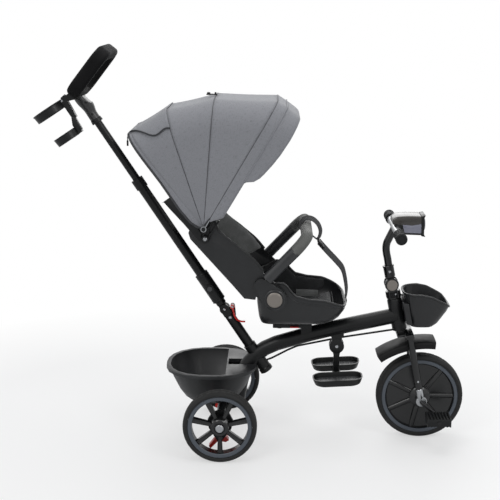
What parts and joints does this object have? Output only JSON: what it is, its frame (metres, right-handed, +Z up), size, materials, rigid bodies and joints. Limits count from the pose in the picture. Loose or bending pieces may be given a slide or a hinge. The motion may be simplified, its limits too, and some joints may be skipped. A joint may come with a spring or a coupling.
{
  "type": "toddler push tricycle",
  "caption": "Push tricycle for a toddler with a steel frame, swivelling reclining seat, bumper bar, folding canopy, steering push pole, baskets and foam-tyred wheels.",
  "frame": {"origin": "on the floor, under the middle of the bounding box", "axes": "+X forward, +Y to the rider's left, +Z up"},
  "size_m": [1.2053, 0.4516, 1.128],
  "materials": {
    "painted_steel": "satin black powder coat",
    "black_plastic": "matt black, fine grain",
    "grey_plastic": "dark grey, matt",
    "wheel_plastic": "black with a blue-grey ring",
    "tyre_foam": "matt foam rubber",
    "red_plastic": "bright red",
    "canopy_fabric": "woven dark grey",
    "webbing": "black webbing",
    "bright_steel": "bright plated steel",
    "padded_wrap": "black leatherette"
  },
  "bodies": {
    "frame": {"brake_housing_left": "black_plastic", "brake_housing_right": "black_plastic", "footrest_bracket": "black_plastic", "front_basket": "black_plastic", "head_cover": "black_plastic", "main_frame": "painted_steel", "rear_axle": "bright_steel", "rear_basket": "black_plastic", "seat_base": "black_plastic", "steering_bush": "grey_plastic"},
    "rear_wheel_left_body": {"rear_rim_left": "wheel_plastic", "rear_tyre_left": "tyre_foam"},
    "brake_left_body": {"brake_pedal_left": "red_plastic"},
    "rear_wheel_right_body": {"rear_rim_right": "wheel_plastic", "rear_tyre_right": "tyre_foam"},
    "brake_right_body": {"brake_pedal_right": "red_plastic"},
    "front_wheel": {"front_rim": "wheel_plastic", "front_tyre": "tyre_foam"},
    "pedal_right_body": {"pedal_right": "black_plastic"},
    "pedal_left_body": {"pedal_left": "black_plastic"},
    "crank_body": {"crank": "painted_steel"},
    "fork_body": {"fork": "painted_steel", "front_fender": "black_plastic"},
    "stem_body": {"grip_left": "black_plastic", "grip_right": "black_plastic", "handlebar": "grey_plastic", "lamp_housing": "black_plastic", "stem": "painted_steel"},
    "stem_button_body": {"stem_button": "bright_steel"},
    "link_body": {"link_rod": "painted_steel"},
    "lower_pole_body": {"lower_pole": "painted_steel"},
    "lever_body": {"fold_lever": "red_plastic"},
    "outer_pole_body": {"clamp_collar": "black_plastic", "outer_pole": "painted_steel"},
    "clamp_button_body": {"clamp_button": "grey_plastic"},
    "inner_pole_body": {"cup_bracket": "black_plastic", "handle_loop": "padded_wrap", "handle_neck": "grey_plastic", "inner_pole": "painted_steel"},
    "cup_body": {"cup_holder": "black_plastic"},
    "seat_lever_body": {"seat_lever": "red_plastic"},
    "seat_body": {"crotch_strap": "webbing", "recline_cover_left": "black_plastic", "recline_cover_right": "black_plastic", "seat_cushion": "canopy_fabric", "seat_tub": "black_plastic"},
    "back_body": {"backrest_pad": "canopy_fabric", "backrest_shell": "black_plastic", "canopy_mount": "black_plastic", "canopy_panel_rear": "canopy_fabric"},
    "bar_body": {"bar_cover": "grey_plastic", "bumper_bar": "black_plastic"},
    "canopy_bow_2_body": {"canopy_bow_2": "bright_steel", "canopy_panel_mid": "canopy_fabric"},
    "canopy_bow_3_body": {"canopy_bow_3": "bright_steel", "canopy_panel_front": "canopy_fabric"},
    "canopy_bow_4_body": {"canopy_bow_4": "bright_steel", "canopy_visor": "canopy_fabric"},
    "footrest_body": {"footrest": "black_plastic"}
  },
  "joints": [
    {"name": "steering", "type": "hinge", "parent": "frame", "child": "fork_body", "pos_m": [0.41586, 0, 0.32264], "axis": [-0.1994, 0, 0.9799], "range_deg": [-30, 30]},
    {"name": "front_wheel_spin", "type": "hinge", "parent": "fork_body", "child": "front_wheel", "pos_m": [0.4777, 0, 0.125], "axis": [0, 1, 0], "continuous": true},
    {"name": "crank_spin", "type": "hinge", "parent": "fork_body", "child": "crank_body", "pos_m": [0.4777, 0, 0.125], "axis": [0, 1, 0], "continuous": true},
    {"name": "pedal_left_spin", "type": "hinge", "parent": "crank_body", "child": "pedal_left_body", "pos_m": [0.43672, 0.115, 0.15701], "axis": [0, 1, 0], "continuous": true},
    {"name": "pedal_right_spin", "type": "hinge", "parent": "crank_body", "child": "pedal_right_body", "pos_m": [0.51868, -0.115, 0.09299], "axis": [0, 1, 0], "continuous": true},
    {"name": "stem_fold", "type": "hinge", "parent": "fork_body", "child": "stem_body", "pos_m": [0.38834, 0, 0.45787], "axis": [0, 1, 0], "range_deg": [0, 40]},
    {"name": "stem_button_press", "type": "slide", "parent": "fork_body", "child": "stem_button_body", "axis": [0, 1, 0], "range_m": [0, 0.003], "stiffness_N_per_m": 300},
    {"name": "link_rod_slide", "type": "slide", "parent": "frame", "child": "link_body", "axis": [0.9799, 0, 0.1994], "range_m": [-0.012, 0.012]},
    {"name": "pole_turn", "type": "hinge", "parent": "frame", "child": "lower_pole_body", "pos_m": [0.0023, 0, 0.2457], "axis": [-0.5477, 0, 0.8367], "range_deg": [-30, 30]},
    {"name": "pole_fold", "type": "hinge", "parent": "lower_pole_body", "child": "outer_pole_body", "pos_m": [-0.08643, 0, 0.38124], "axis": [0, 1, 0], "range_deg": [-60, 0]},
    {"name": "pole_telescope", "type": "slide", "parent": "outer_pole_body", "child": "inner_pole_body", "axis": [-0.5477, 0, 0.8367], "range_m": [-0.16, 0.03]},
    {"name": "clamp_button_press", "type": "slide", "parent": "outer_pole_body", "child": "clamp_button_body", "axis": [0, 1, 0], "range_m": [0, 0.0025], "stiffness_N_per_m": 300},
    {"name": "fold_lever_pull", "type": "hinge", "parent": "lower_pole_body", "child": "lever_body", "pos_m": [-0.0638, 0, 0.3905], "axis": [0, 1, 0], "range_deg": [0, 30], "stiffness_Nm_per_rad": 0.1},
    {"name": "cup_holder_fold", "type": "hinge", "parent": "inner_pole_body", "child": "cup_body", "pos_m": [-0.5233, -0.046, 0.983], "axis": [0, 1, 0], "range_deg": [0, 50]},
    {"name": "seat_swivel", "type": "hinge", "parent": "frame", "child": "seat_body", "pos_m": [0.1077, 0, 0.358], "axis": [0, 0, 1], "range_deg": [-90, 90]},
    {"name": "seat_lever_pull", "type": "slide", "parent": "frame", "child": "seat_lever_body", "axis": [0, -1, 0], "range_m": [0, 0.006], "stiffness_N_per_m": 300},
    {"name": "backrest_recline", "type": "hinge", "parent": "seat_body", "child": "back_body", "pos_m": [0.0567, 0, 0.449], "axis": [0, 1, 0], "range_deg": [0, 25]},
    {"name": "canopy_fold", "type": "hinge", "parent": "back_body", "child": "canopy_bow_2_body", "pos_m": [-0.1343, 0, 0.648], "axis": [0, 1, 0], "range_deg": [-16, 0], "deforming": ["canopy_panel_rear"]},
    {"name": "canopy_fold_mid", "type": "hinge", "parent": "canopy_bow_2_body", "child": "canopy_bow_3_body", "pos_m": [-0.1343, 0, 0.648], "axis": [0, 1, 0], "range_deg": [-17.92, 0], "deforming": ["canopy_panel_mid"]},
    {"name": "canopy_fold_front", "type": "hinge", "parent": "canopy_bow_3_body", "child": "canopy_bow_4_body", "pos_m": [-0.1343, 0, 0.648], "axis": [0, 1, 0], "range_deg": [-20.8, 0], "deforming": ["canopy_panel_front"]},
    {"name": "bumper_bar_lift", "type": "slide", "parent": "seat_body", "child": "bar_body", "axis": [0.6902, 0, 0.7236], "range_m": [0, 0.045], "deforming": ["crotch_strap"]},
    {"name": "footrest_fold", "type": "hinge", "parent": "frame", "child": "footrest_body", "pos_m": [0.2357, 0, 0.273], "axis": [0, 1, 0], "range_deg": [0, 55]},
    {"name": "rear_wheel_left_spin", "type": "hinge", "parent": "frame", "child": "rear_wheel_left_body", "pos_m": [-0.0923, 0.2, 0.1025], "axis": [0, 1, 0], "continuous": true},
    {"name": "rear_wheel_right_spin", "type": "hinge", "parent": "frame", "child": "rear_wheel_right_body", "pos_m": [-0.0923, -0.2, 0.1025], "axis": [0, 1, 0], "continuous": true},
    {"name": "brake_left", "type": "hinge", "parent": "frame", "child": "brake_left_body", "pos_m": [-0.0943, 0, 0.056], "axis": [0, 1, 0], "range_deg": [0, 18]},
    {"name": "brake_right", "type": "hinge", "parent": "frame", "child": "brake_right_body", "pos_m": [-0.0943, 0, 0.056], "axis": [0, 1, 0], "range_deg": [0, 18]}
  ],
  "couplings": [
    {"joint": "crank_spin", "follows": "front_wheel_spin", "ratio": 1},
    {"joint": "pole_turn", "follows": "steering", "ratio": 1},
    {"joint": "link_rod_slide", "follows": "steering", "m_per_rad": -0.022},
    {"joint": "canopy_fold_mid", "follows": "canopy_fold", "ratio": 1.12},
    {"joint": "canopy_fold_front", "follows": "canopy_fold", "ratio": 1.3}
  ]
}
